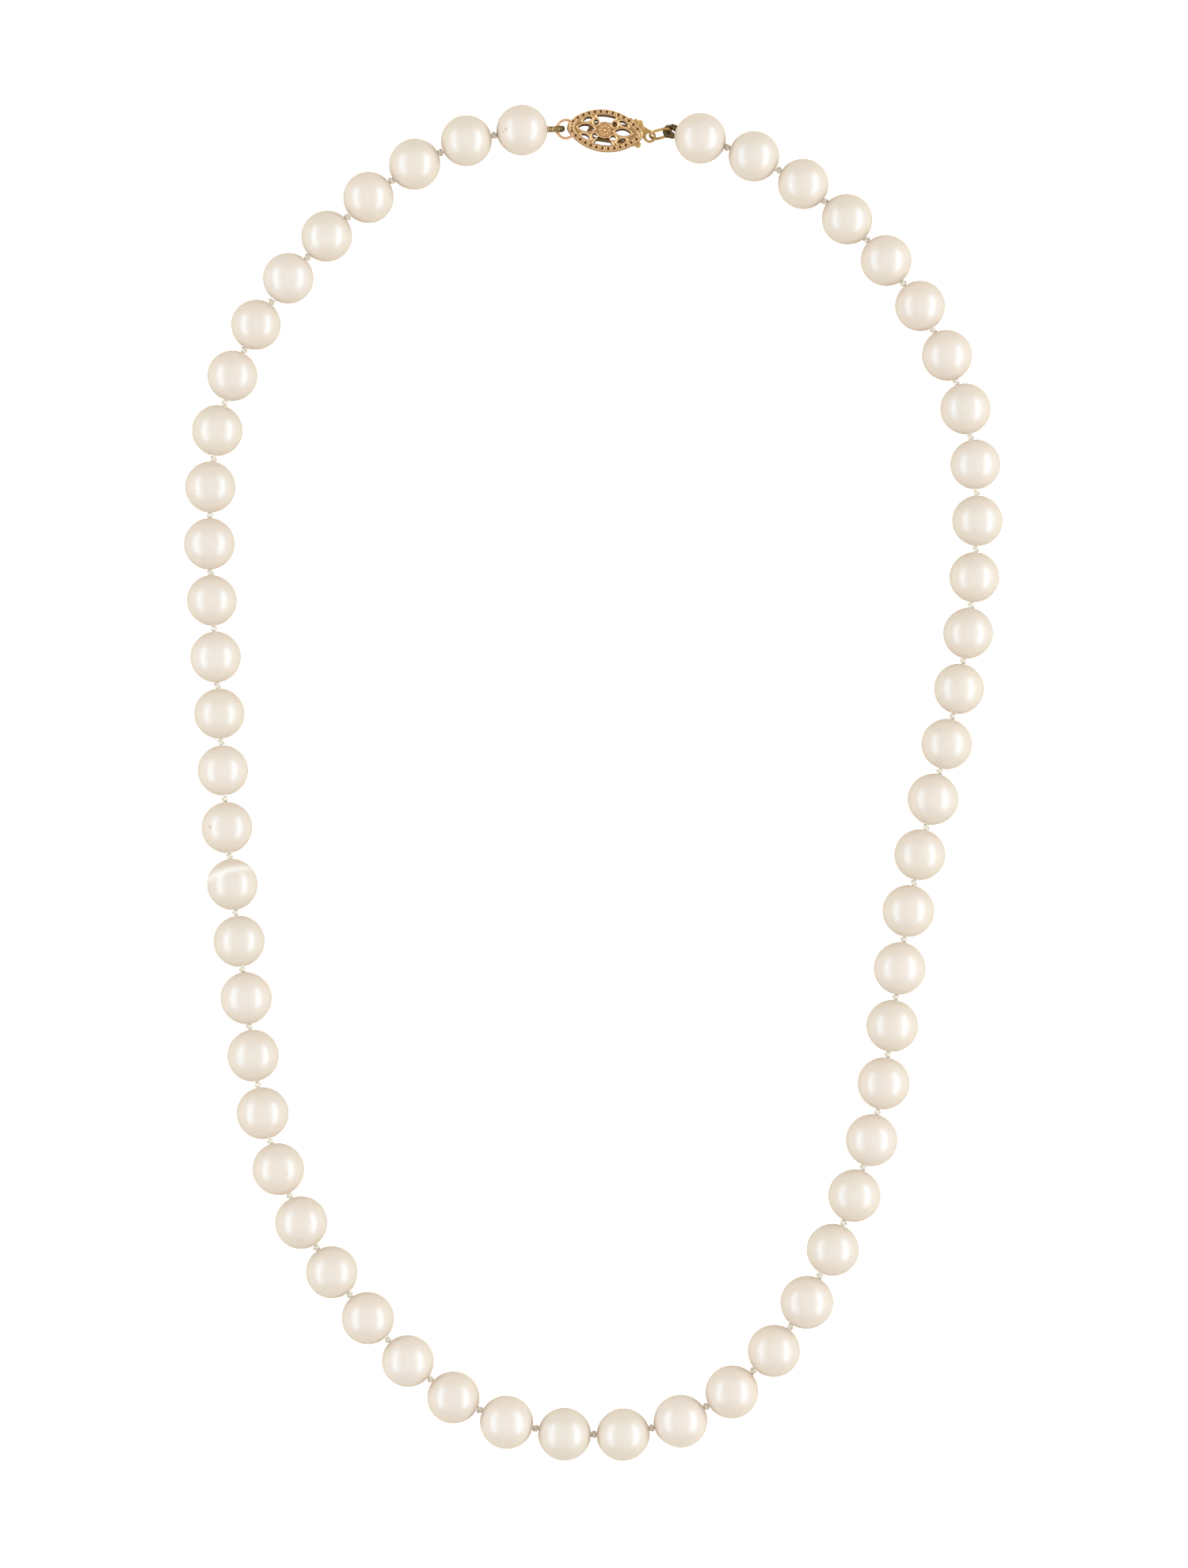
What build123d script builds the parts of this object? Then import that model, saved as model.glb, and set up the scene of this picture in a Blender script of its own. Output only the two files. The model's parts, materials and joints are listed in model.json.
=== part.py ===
"""Princess-length pearl necklace with a filigree clasp.

57 knotted pearls lie in a closed loop on a table, the clasp at +Y and the largest pearls at -Y.
The strand is divided at its knots into lengths of two or three pearls, each with its own silk.
Gimp loops and jump rings join the two ends to the clasp's housing and to its spring tongue.
Millimetres, +Z up, z = 0 is the table that every pearl and the back of the clasp rest on.
"""

from build123d import *
import math
import os
import random

# ---- Strand ----
# Route of the silk seen from above, from the pearl left of the clasp down the left side,
# round the front and up the right side to the pearl right of the clasp.
STRAND_ROUTE = [
    (-9.7, 88.0), (-24.0, 83.5), (-35.2, 74.5), (-44.8, 63.0), (-50.5, 48.7),
    (-51.8, 33.6), (-51.0, 18.0), (-50.0, 2.4), (-48.7, -13.4), (-46.8, -29.0),
    (-44.4, -45.2), (-39.0, -59.8), (-29.8, -72.6), (-17.7, -83.3), (-2.8, -87.6),
    (12.0, -85.6), (24.2, -76.3), (32.3, -62.3), (37.4, -47.8), (40.1, -32.9),
    (42.2, -17.8), (45.4, -3.0), (49.0, 12.2), (51.2, 27.8), (51.3, 43.4),
    (47.2, 58.4), (38.6, 71.3), (27.5, 81.2), (14.3, 86.9),
]
PEARL_COUNT = 57
FRONT_PEARL_DIAMETER = 7.20
CLASP_PEARL_DIAMETER = 6.85
GRADED_SHARE = 0.625
PEARL_SPREAD = 0.07
BORE_DIAMETER = 0.80
END_BORE_OVERSHOOT = 0.30
SILK_DIAMETER = 0.50
KNOT_DIAMETER = 0.94
RUNNING_GAP = 0.02
FRONT_LINK = (28, 29, 30)
PEARLS_PER_LINK = (2, 2, 2, 3, 3, 3, 3, 3, 2, 2, 2)

# ---- Gimp and jump rings ----
GIMP_DIAMETER = 0.80
GIMP_BORE = 0.46
GIMP_SILK = 0.38
GIMP_BEND_RADIUS = 0.67
GIMP_CLEARANCE = 0.05
RING_WIRE = 0.39
RING_SEAM = 0.04
LEFT_RING_RADIUS = 1.23
LEFT_RING_CENTRE = (-3.79, 88.28, 1.75)
RIGHT_RING_WIDTH = 1.91
RIGHT_RING_TILT = 60.0
RIGHT_RING_EYE_END = (7.60, 87.31, 1.40)
RIGHT_RING_GIMP_END = (10.33, 88.00, 2.00)

# ---- Clasp ----
CLASP_CENTRE = (1.43, 88.06, 0.0)
CLASP_TILT = -7.2
MARQUISE_HALF_LENGTH = 5.40
MARQUISE_HALF_WIDTH = 2.78
BLUNT_TIP_RADIUS = 1.70
WALL_TIP_RADIUS = 0.90
SHARP_TIP_RADIUS = 0.60
BACK_TOP = 0.35
WALL_TOP = 2.45
FILIGREE_TOP = 2.70
BORDER_TOP = 2.82
BORDER_WIDTH = 0.62
WALL_INSET = 0.05
WALL_THICKNESS = 0.33
RING_CHANNEL_GAP = 0.12
RECESS_SIZE = 0.36
RECESS_DEPTH = 0.18
RECESS_PITCH = 0.81
RECESSES_PER_SIDE = 13
MOUTH_BOTTOM = 0.80
MOUTH_TOP = 2.00
MOUTH_OUTLINE = [(3.45, -3.0), (6.0, -3.0), (6.0, 3.0), (2.60, 3.0), (2.60, 0.0), (3.45, 0.0)]
SILL_OUTLINE = [(3.12, -1.25), (3.43, -1.25), (3.43, -1.60), (3.12, -1.78)]

# ---- Filigree openings, in the clasp's own axes ----
ROSETTE_RADIUS = 0.95
ROSETTE_HEIGHT = 0.12
BOSS_RADIUS = 0.27
PETAL_COUNT = 8
PETAL_CIRCLE = 0.60
PETAL_RADIUS = 0.21
FAN_INNER_RADIUS = 1.14
FAN_OUTER_RIM = 0.14
FAN_HALF_ANGLE = 35.0
LEAF_CENTRE = 2.50
LEAF_HALF_LENGTH = 1.12
LEAF_HALF_WIDTH = 0.47
EYELET_RADIUS = 0.34
EYELET_CENTRE = (1.25, 0.93)
CRESCENT_CENTRE = (2.45, 1.17)
CRESCENT_HALF_LENGTH = 0.66
CRESCENT_HALF_WIDTH = 0.28
CRESCENT_SLOPE = 23.0

# ---- Tongue, in the clasp's own axes ----
TONGUE_BOTTOM = 0.90
TONGUE_TOP = 1.90
EYE_BOTTOM = 1.19
EYE_TOP = 1.61
EYE_CENTRE = (6.13, 0.0)
EYE_RADIUS = 0.86
EYE_HOLE_RADIUS = 0.50
KNUCKLE = (-2.05, -0.30)
KNUCKLE_RADIUS = 0.30
SHANK_WIDTH = 0.55
SHANK_LINE = [KNUCKLE, (-1.85, 0.32), (-1.30, 0.70), (0.40, 0.86), (3.10, 0.88)]
TAB_OUTLINE = [
    (2.75, 0.62), (2.95, 1.80), (4.78, 1.95), (5.25, 1.25), (5.45, 0.50), (4.90, 0.20), (4.20, 0.62),
]
TAB_LOBES = [(3.28, 1.84, 0.34), (3.98, 1.87, 0.30), (4.62, 1.66, 0.40)]
NECK_OUTLINE = [(4.90, 0.20), (5.25, 1.25), (6.13, 0.86), (5.45, -0.52)]
SPRING_WIDTH = 0.34
SPRING_LINE = [
    KNUCKLE, (-1.70, -1.00), (-0.90, -1.28), (1.60, -1.32), (2.85, -1.18), (3.15, -0.88),
    (3.85, -1.10), (4.69, -1.28),
]
TOOTH_OUTLINE = [(2.30, -1.20), (2.60, -1.56), (2.98, -1.56), (2.98, -1.10)]
BULGE = (3.95, -1.30, 0.34)
NUB = (4.69, -1.28, 0.42)

os.makedirs("parts", exist_ok=True)
clasp_plane = Plane(CLASP_CENTRE, x_dir=Vector(1, 0, 0).rotate(Axis.Z, CLASP_TILT), z_dir=(0, 0, 1))


def save(piece, name):
    """Label a finished piece and write it as its own STEP file."""
    piece.part.label = name
    export_step(piece.part, f"parts/{name}.step")


# ---- Where the pearls and knots lie ----
def pearl_radii():
    """Graduated radii, largest at the front, with the small spread of a matched strand."""
    spread = random.Random(5)
    middle = (PEARL_COUNT + 1) / 2
    radii = {}
    for number in range(1, PEARL_COUNT + 1):
        away = abs(number - middle) / (middle - 1)
        share = min(1, away / GRADED_SHARE)
        graded = FRONT_PEARL_DIAMETER + (CLASP_PEARL_DIAMETER - FRONT_PEARL_DIAMETER) * share
        radii[number] = (graded + spread.uniform(-PEARL_SPREAD, PEARL_SPREAD)) / 2
    return radii


def pearl_centres(radii):
    """Centres along the route: every pearl rests on the table, and all knot gaps are equal."""
    with BuildLine() as route:
        Spline(*STRAND_ROUTE)
    strand = route.edge()
    touching = sum(radii[n] + radii[n + 1] for n in range(1, PEARL_COUNT))
    gap = (strand.length - touching) / (PEARL_COUNT - 1)
    centres = {}
    along = 0.0
    for number in range(1, PEARL_COUNT + 1):
        flat = strand.position_at(min(along / strand.length, 1.0))
        centres[number] = Vector(flat.X, flat.Y, radii[number])
        if number < PEARL_COUNT:
            along += radii[number] + radii[number + 1] + gap
    return centres


def knot_points(radii, centres):
    """Knot n sits midway between the faces of pearls n and n + 1."""
    knots = {}
    for number in range(1, PEARL_COUNT):
        step = centres[number + 1] - centres[number]
        gap = step.length - radii[number] - radii[number + 1]
        knots[number] = centres[number] + step.normalized() * (radii[number] + gap / 2)
    return knots


radii = pearl_radii()
centres = pearl_centres(radii)
knots = knot_points(radii, centres)

left_ring_gimp_end = Vector(*LEFT_RING_CENTRE) - Vector(LEFT_RING_RADIUS, 0, 0)
right_ring_gimp_end = Vector(*RIGHT_RING_GIMP_END)
right_ring_eye_end = Vector(*RIGHT_RING_EYE_END)


def silk_exit(number, towards):
    """Point on an end pearl's face where its bore opens towards the jump ring."""
    return centres[number] + (towards - centres[number]).normalized() * radii[number]


left_exit = silk_exit(1, left_ring_gimp_end)
right_exit = silk_exit(PEARL_COUNT, right_ring_gimp_end)


def bore_ends(number):
    """The two points that a pearl's drilled hole runs between."""
    start = knots.get(number - 1, left_exit)
    end = knots.get(number, right_exit)
    return start, end


# ---- Pearls and silk ----
def across(along):
    """Level direction across the silk, where a ball's seam stays clear of the bore."""
    return Vector(0, 0, 1).cross(along).normalized()


def make_pearls(name, numbers):
    """The drilled pearls of one link, as separate solids."""
    with BuildPart() as pearls:
        for number in numbers:
            start, end = bore_ends(number)
            with Locations(Plane(centres[number], x_dir=across(end - start), z_dir=(0, 0, 1))):
                Sphere(radii[number])
        for number in numbers:
            start, end = bore_ends(number)
            overshoot = END_BORE_OVERSHOOT if number in (1, PEARL_COUNT) else 0.0
            with Locations(Plane((start + end) / 2, z_dir=end - start)):
                Cylinder(BORE_DIAMETER / 2, (end - start).length + 2 * overshoot, mode=Mode.SUBTRACT)
    save(pearls, name)


def make_silk(name, points, hinged_start, knot_places, gimp=None):
    """The silk of one link: a thread from point to point with its knots, and its turn in the gimp."""
    with BuildPart() as silk:
        for knot in knot_places:
            with Locations(Plane(knot, x_dir=across(points[-1] - points[0]), z_dir=(0, 0, 1))):
                Sphere(KNOT_DIAMETER / 2)
        for place, (start, end) in enumerate(zip(points, points[1:])):
            along = (end - start).normalized()
            hinged = place == 0 and hinged_start
            first = start + along * (KNOT_DIAMETER / 2 + RUNNING_GAP if hinged else KNOT_DIAMETER / 4)
            last = end - along * (KNOT_DIAMETER / 4 if end in knot_places else RUNNING_GAP * 5)
            with Locations(Plane(first, z_dir=along)):
                Cylinder(
                    SILK_DIAMETER / 2,
                    (last - first).length,
                    align=(Align.CENTER, Align.CENTER, Align.MIN),
                )
        if gimp:
            path = gimp_path(*gimp)
            with BuildSketch(Plane(path @ 0, z_dir=path % 0)):
                Circle(GIMP_SILK / 2)
            sweep(path=path)
    save(silk, name)


def gimp_path(pearl, ring_point, wire_direction):
    """Centre line of a gimp loop: out from the pearl, round the ring's wire and back."""
    out = (ring_point - centres[pearl]).normalized()
    normal = (wire_direction - out * wire_direction.dot(out)).normalized()
    leg = (ring_point - centres[pearl]).length - radii[pearl] - GIMP_CLEARANCE
    bend = GIMP_BEND_RADIUS
    with BuildLine(Plane(ring_point, x_dir=out, z_dir=normal)) as loop:
        Line((-leg, bend), (0, bend))
        ThreePointArc((0, bend), (bend, 0), (0, -bend))
        Line((0, -bend), (-leg, -bend))
    return loop.wire()


def make_gimp(name, pearl, ring_point, wire_direction):
    """A loop of French wire, as a tube."""
    path = gimp_path(pearl, ring_point, wire_direction)
    with BuildPart() as gimp:
        with BuildSketch(Plane(path @ 0, z_dir=path % 0)):
            Circle(GIMP_DIAMETER / 2)
            Circle(GIMP_BORE / 2, mode=Mode.SUBTRACT)
        sweep(path=path)
    save(gimp, name)


# The oval ring's long axis runs from the tongue's eye to the gimp, and its plane stands steeply.
ring_axis = (right_ring_gimp_end - right_ring_eye_end).normalized()
ring_level = Vector(0, 0, 1).cross(ring_axis).normalized()
ring_wire_direction = ring_level.rotate(Axis((0, 0, 0), ring_axis), RIGHT_RING_TILT)
left_gimp = (1, left_ring_gimp_end, Vector(0, 1, 0))
right_gimp = (PEARL_COUNT, right_ring_gimp_end, ring_wire_direction)


def make_front_link():
    """The link at the front of the neck, with a knot at each end."""
    first, last = FRONT_LINK[0], FRONT_LINK[-1]
    places = [knots[n] for n in range(first - 1, last + 1)]
    make_pearls("pearls_front", FRONT_LINK)
    make_silk("silk_front", places, False, places)


def make_arm(side, direction, gimp):
    """The eleven links of one arm, counted from the front, up to its gimp loop."""
    number = FRONT_LINK[-1] + 1 if direction > 0 else FRONT_LINK[0] - 1
    for place, count in enumerate(PEARLS_PER_LINK, start=1):
        numbers = [number + direction * step for step in range(count)]
        # Knot n follows pearl n when counting up, and precedes pearl n + 1 when counting down.
        before = numbers[0] - 1 if direction > 0 else numbers[0]
        links = [before + direction * step for step in range(count + 1)]
        points = [knots.get(n, right_exit if direction > 0 else left_exit) for n in links]
        tied = [knots[n] for n in links[1:] if n in knots]
        last_gimp = gimp if place == len(PEARLS_PER_LINK) else None
        make_pearls(f"pearls_{side}_{place:02d}", numbers)
        make_silk(f"silk_{side}_{place:02d}", points, True, tied, last_gimp)
        number += direction * count


# ---- Jump rings ----
def make_left_ring():
    """Round jump ring lying flat, with its seam at the front."""
    with BuildPart() as ring:
        with Locations(LEFT_RING_CENTRE):
            Torus(LEFT_RING_RADIUS, RING_WIRE / 2)
            with Locations((0, -LEFT_RING_RADIUS, 0)):
                Box(RING_SEAM, 2 * RING_WIRE, 2 * RING_WIRE, mode=Mode.SUBTRACT)
    save(ring, "jump_ring_left")


def make_right_ring():
    """Oval jump ring, standing steeply through the tongue's eye, with its seam on one long side."""
    length = (right_ring_gimp_end - right_ring_eye_end).length
    end_radius = RIGHT_RING_WIDTH / 2
    straight = length / 2 - end_radius
    normal = ring_axis.cross(ring_wire_direction)
    middle = Plane((right_ring_gimp_end + right_ring_eye_end) / 2, x_dir=ring_axis, z_dir=normal)
    with BuildPart() as ring:
        with BuildLine(middle) as oval:
            Line((-straight, end_radius), (straight, end_radius))
            ThreePointArc((straight, end_radius), (straight + end_radius, 0), (straight, -end_radius))
            Line((straight, -end_radius), (-straight, -end_radius))
            ThreePointArc((-straight, -end_radius), (-straight - end_radius, 0), (-straight, end_radius))
        with BuildSketch(Plane(oval.wire() @ 0, z_dir=oval.wire() % 0)):
            Circle(RING_WIRE / 2)
        sweep(path=oval.wire())
        with Locations(middle):
            with Locations((0, -end_radius, 0)):
                Box(RING_SEAM, 2 * RING_WIRE, 2 * RING_WIRE, mode=Mode.SUBTRACT)
    save(ring, "jump_ring_right")


# ---- Clasp housing ----
def marquise(half_length, half_width, left_tip=0.0, right_tip=0.0):
    """Pointed oval of two arcs, with rounded tips where a radius is given."""
    arc_radius = (half_length**2 + half_width**2) / (2 * half_width)
    with BuildSketch() as outline:
        with Locations((0, half_width - arc_radius)):
            Circle(arc_radius)
        with Locations((0, arc_radius - half_width)):
            Circle(arc_radius, mode=Mode.INTERSECT)
        if left_tip:
            fillet(outline.vertices().sort_by(Axis.X)[0], left_tip)
        if right_tip:
            fillet(outline.vertices().sort_by(Axis.X)[-1], right_tip)
    return outline.sketch


front_outline = marquise(MARQUISE_HALF_LENGTH, MARQUISE_HALF_WIDTH, BLUNT_TIP_RADIUS, SHARP_TIP_RADIUS)
back_outline = marquise(MARQUISE_HALF_LENGTH, MARQUISE_HALF_WIDTH, WALL_TIP_RADIUS, SHARP_TIP_RADIUS)


def filigree_openings():
    """Two fans, two leaves, four eyelets and four crescents round the rosette."""
    with BuildSketch() as openings:
        add(front_outline)
        offset(amount=-BORDER_WIDTH - FAN_OUTER_RIM, mode=Mode.REPLACE)
        Circle(FAN_INNER_RADIUS, mode=Mode.SUBTRACT)
        reach = 2 * MARQUISE_HALF_WIDTH
        half_span = reach * math.tan(math.radians(FAN_HALF_ANGLE))
        with BuildLine():
            Polyline((0, 0), (half_span, reach), (-half_span, reach), close=True)
        make_face(mode=Mode.INTERSECT)
        mirror(about=Plane.XZ)
        leaf = marquise(LEAF_HALF_LENGTH, LEAF_HALF_WIDTH)
        crescent = marquise(CRESCENT_HALF_LENGTH, CRESCENT_HALF_WIDTH)
        for x_side in (-1, 1):
            with Locations((x_side * LEAF_CENTRE, 0)):
                add(leaf)
            for y_side in (-1, 1):
                with Locations((x_side * EYELET_CENTRE[0], y_side * EYELET_CENTRE[1])):
                    Circle(EYELET_RADIUS)
                slope = -x_side * y_side * CRESCENT_SLOPE
                with Locations(
                    Location((x_side * CRESCENT_CENTRE[0], y_side * CRESCENT_CENTRE[1], 0), slope)
                ):
                    add(crescent)
    return openings.sketch


def make_back_plate():
    """Openwork back of the housing, flat on the table."""
    with BuildPart() as plate:
        with BuildSketch(clasp_plane):
            add(back_outline)
            add(openings, mode=Mode.SUBTRACT)
        extrude(amount=BACK_TOP)
    save(plate, "clasp_back_plate")


def make_side_wall():
    """Band between the plates, with the ring's channel, the tongue's mouth and its catch sill."""
    with BuildPart() as wall:
        with BuildSketch(clasp_plane.offset(BACK_TOP)):
            add(back_outline)
            offset(amount=-WALL_INSET, mode=Mode.REPLACE)
            offset(amount=-WALL_THICKNESS, mode=Mode.SUBTRACT)
            with BuildLine():
                Polyline(*SILL_OUTLINE, close=True)
            make_face()
        extrude(amount=WALL_TOP - BACK_TOP)
        with BuildSketch(clasp_plane.offset(MOUTH_BOTTOM)):
            with BuildLine():
                Polyline(*MOUTH_OUTLINE, close=True)
            make_face()
        extrude(amount=MOUTH_TOP - MOUTH_BOTTOM, mode=Mode.SUBTRACT)
        with Locations(LEFT_RING_CENTRE):
            Torus(LEFT_RING_RADIUS, RING_WIRE / 2 + RING_CHANNEL_GAP, mode=Mode.SUBTRACT)
    save(wall, "clasp_side_wall")


def make_front_filigree():
    """Openwork front of the housing, inside the border."""
    with BuildPart() as filigree:
        with BuildSketch(clasp_plane.offset(WALL_TOP)):
            add(front_outline)
            offset(amount=-BORDER_WIDTH, mode=Mode.REPLACE)
            add(openings, mode=Mode.SUBTRACT)
        extrude(amount=FILIGREE_TOP - WALL_TOP)
    save(filigree, "clasp_front_filigree")


def make_front_border():
    """Raised border with a row of square recesses along each side."""
    outer_arc = (MARQUISE_HALF_LENGTH**2 + MARQUISE_HALF_WIDTH**2) / (2 * MARQUISE_HALF_WIDTH)
    row_arc = outer_arc - BORDER_WIDTH / 2
    row_angle = math.degrees(RECESS_PITCH / row_arc) * (RECESSES_PER_SIDE - 1)
    with BuildPart() as border:
        with BuildSketch(clasp_plane.offset(WALL_TOP)):
            add(front_outline)
            offset(amount=-BORDER_WIDTH, mode=Mode.SUBTRACT)
        extrude(amount=BORDER_TOP - WALL_TOP)
        with BuildSketch(clasp_plane.offset(BORDER_TOP)):
            for side in (-1, 1):
                with Locations((0, side * (MARQUISE_HALF_WIDTH - outer_arc))):
                    with PolarLocations(
                        row_arc,
                        RECESSES_PER_SIDE,
                        start_angle=side * 90 - row_angle / 2,
                        angular_range=row_angle,
                        endpoint=True,
                    ):
                        Rectangle(RECESS_SIZE, RECESS_SIZE)
        extrude(amount=-RECESS_DEPTH, mode=Mode.SUBTRACT)
    save(border, "clasp_front_border")


def make_rosette():
    """Flower at the middle of the front: a disc, a boss and eight petals."""
    with BuildPart() as rosette:
        with BuildSketch(clasp_plane.offset(FILIGREE_TOP)):
            Circle(ROSETTE_RADIUS)
        extrude(amount=ROSETTE_HEIGHT)
        with Locations(clasp_plane.offset(FILIGREE_TOP + ROSETTE_HEIGHT)):
            Sphere(BOSS_RADIUS)
            with PolarLocations(PETAL_CIRCLE, PETAL_COUNT):
                Sphere(PETAL_RADIUS)
        split(bisect_by=clasp_plane.offset(FILIGREE_TOP), keep=Keep.TOP)
    save(rosette, "clasp_rosette")


# ---- Tongue ----
def make_tongue_shank():
    """Stamped shank: hinge knuckle, straight limb, scalloped thumb tab, neck and ring eye."""
    with BuildPart() as shank:
        with BuildSketch(clasp_plane.offset(TONGUE_BOTTOM)):
            with BuildLine():
                Polyline(*SHANK_LINE)
            trace(line_width=SHANK_WIDTH)
            with Locations(KNUCKLE):
                Circle(KNUCKLE_RADIUS)
            with BuildLine():
                Polyline(*TAB_OUTLINE, close=True)
            make_face()
            for x, y, lobe in TAB_LOBES:
                with Locations((x, y)):
                    Circle(lobe)
        extrude(amount=TONGUE_TOP - TONGUE_BOTTOM)
        with BuildSketch(clasp_plane.offset(EYE_BOTTOM)):
            with BuildLine():
                Polyline(*NECK_OUTLINE, close=True)
            make_face()
            with Locations(EYE_CENTRE):
                Circle(EYE_RADIUS)
                Circle(EYE_HOLE_RADIUS, mode=Mode.SUBTRACT)
        extrude(amount=EYE_TOP - EYE_BOTTOM)
    save(shank, "tongue_shank")


def make_tongue_spring():
    """Spring limb: it turns on the shank's knuckle and carries the catch tooth and the finger nub."""
    with BuildPart() as spring:
        with BuildSketch(clasp_plane.offset(TONGUE_BOTTOM)):
            with BuildLine():
                Polyline(*SPRING_LINE)
            trace(line_width=SPRING_WIDTH)
            with BuildLine():
                Polyline(*TOOTH_OUTLINE, close=True)
            make_face()
            for x, y, radius in (BULGE, NUB):
                with Locations((x, y)):
                    Circle(radius)
            with Locations(KNUCKLE):
                Circle(KNUCKLE_RADIUS + 1.5 * RUNNING_GAP, mode=Mode.SUBTRACT)
        extrude(amount=TONGUE_TOP - TONGUE_BOTTOM)
    save(spring, "tongue_spring")


openings = filigree_openings()

make_front_link()
make_arm("left", -1, left_gimp)
make_arm("right", 1, right_gimp)
make_gimp("gimp_left", *left_gimp)
make_gimp("gimp_right", *right_gimp)
make_left_ring()
make_right_ring()
make_back_plate()
make_side_wall()
make_front_filigree()
make_front_border()
make_rosette()
make_tongue_shank()
make_tongue_spring()
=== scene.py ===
"""Looks of the pearl necklace: nacre pearls, knotted silk, coiled gimp and a cast filigree clasp."""

import json
import math
import random

import bmesh
import bpy
import numpy as np
from mathutils import Matrix, Vector, noise


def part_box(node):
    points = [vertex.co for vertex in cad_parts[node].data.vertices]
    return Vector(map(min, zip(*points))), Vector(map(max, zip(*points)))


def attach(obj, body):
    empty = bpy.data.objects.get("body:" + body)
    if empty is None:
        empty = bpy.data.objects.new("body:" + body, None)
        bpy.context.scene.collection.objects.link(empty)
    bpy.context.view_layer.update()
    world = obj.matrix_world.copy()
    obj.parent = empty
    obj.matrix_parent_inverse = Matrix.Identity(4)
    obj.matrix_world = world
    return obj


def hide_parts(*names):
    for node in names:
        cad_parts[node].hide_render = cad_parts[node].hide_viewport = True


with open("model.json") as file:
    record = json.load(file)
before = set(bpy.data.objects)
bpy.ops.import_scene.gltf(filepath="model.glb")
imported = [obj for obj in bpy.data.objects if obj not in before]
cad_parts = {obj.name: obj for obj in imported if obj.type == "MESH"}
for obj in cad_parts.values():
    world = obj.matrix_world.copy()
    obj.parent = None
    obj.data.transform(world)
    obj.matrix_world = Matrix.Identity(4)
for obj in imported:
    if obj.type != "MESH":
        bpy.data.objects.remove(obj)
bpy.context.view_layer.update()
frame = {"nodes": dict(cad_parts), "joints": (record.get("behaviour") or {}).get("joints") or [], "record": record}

MM = 0.001
NODES = frame["nodes"]
RECORD = frame["record"]
BODY_OF = {n: body for body, group in RECORD["behaviour"]["bodies"].items() for n in group}
JOINT = {j["name"]: np.array(j["pos_m"]) / MM for j in frame["joints"]}
TURN = 2 * math.pi
UP = np.array([0.0, 0.0, 1.0])

# ---- Sizes in mm, as in the CAD ----
BORE_RADIUS = 0.40
SILK_RADIUS = 0.25
KNOT_RADIUS = 0.47
RUNNING_GAP = 0.02
GIMP_BEND = 0.67
GIMP_CLEARANCE = 0.05
RING_WIRE = 0.39
CLASP_TILT = math.radians(-7.2)
MARQUISE = (5.40, 2.78)
TIPS = ((-1, 1.70), (1, 0.60))
BORDER_WIDTH = 0.62
FILIGREE_BOTTOM, FILIGREE_TOP = 2.45, 2.70
RECESS_PITCH, RECESS_HALF = 0.81, 0.18
RECESS_RUN = 6.5 * RECESS_PITCH
FAN_INNER, FAN_HALF_ANGLE, FAN_RIM = 1.14, math.radians(35), 0.14
LEAF_X, LEAF = 2.50, (1.12, 0.47)
EYELET, EYELET_RADIUS = (1.25, 0.93), 0.34
CRESCENT_AT, CRESCENT, CRESCENT_SLOPE = (2.45, 1.17), (0.66, 0.28), math.radians(23)

# ---- Sizes in mm that belong to the looks alone ----
MOUTH_ROUND = 0.13
SILK_PITCH = 1.1
SILK_INTO_KNOT = 0.12
SILK_SHORT_OF_END = 0.10
KNOT_TUBE, KNOT_SWING = 0.168, 0.12
KNOT_CORE, KNOT_REACH = (0.245, 0.275), (0.205, 0.225)
GIMP_LEG = 0.42
GIMP_SILK_RADIUS = 0.16
COIL_RADIUS, COIL_WIRE = 0.285, 0.112
RING_SEAM = 0.03
ROSETTE_RADIUS, ROSETTE_SCALLOP = 0.93, 0.045
BOSS_RADIUS, BOSS_HEIGHT = 0.27, 0.40
PETAL_AT, PETAL_HALF_LENGTH, PETAL_HALF_WIDTH, PETAL_HEIGHT = 0.53, 0.21, 0.185, 0.29
BEAD_AT, BEAD_RADIUS, BEAD_HEIGHT = 0.79, 0.11, 0.19
PETALS = 8


# ---- Mesh helpers; every mesh is worked out in mm ----
def unit(v):
    """The vector at length one."""
    return v / np.linalg.norm(v)


def smooth_bump(distance, width):
    """A bell curve: 1 where the distance is 0, about a third at the width."""
    return np.exp(-((distance / width) ** 2))


def grid_faces(rows, columns, close_rows):
    """Quads of a grid whose columns wrap round, and whose rows do too if close_rows."""
    r = np.arange(rows if close_rows else rows - 1)
    c = np.arange(columns)
    r, c = np.meshgrid(r, c, indexing="ij")
    r2, c2 = (r + 1) % rows, (c + 1) % columns
    quads = np.stack([r * columns + c, r * columns + c2, r2 * columns + c2, r2 * columns + c], axis=-1)
    return quads.reshape(-1, 4).tolist()


def piece(name, points, faces, material, body, nodes, colour=None):
    """A smooth-shaded piece from points in mm, riding on a body and standing for CAD nodes."""
    mesh = bpy.data.meshes.new(name)
    mesh.from_pydata((np.asarray(points) * MM).tolist(), [], faces)
    if colour is not None:
        paint(mesh, colour)
    bm = bmesh.new()
    bm.from_mesh(mesh)
    bmesh.ops.recalc_face_normals(bm, faces=bm.faces)
    bm.to_mesh(mesh)
    bm.free()
    dress(name, mesh, material, body, nodes)


def dress(name, mesh, material, body, nodes):
    """Gives a finished mesh its object, material and body, and hides the CAD nodes that it stands for."""
    mesh.shade_smooth()
    mesh.materials.append(material)
    made = bpy.data.objects.new(name, mesh)
    bpy.context.scene.collection.objects.link(made)
    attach(made, body)
    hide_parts(*nodes)


def paint(mesh, colour):
    """Writes one RGB value per vertex to the attribute that the materials read."""
    layer = mesh.color_attributes.new("detail", "FLOAT_COLOR", "POINT")
    rgba = np.ones((len(mesh.vertices), 4), np.float32)
    rgba[:, :3] = colour
    layer.data.foreach_set("color", rgba.ravel())


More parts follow.
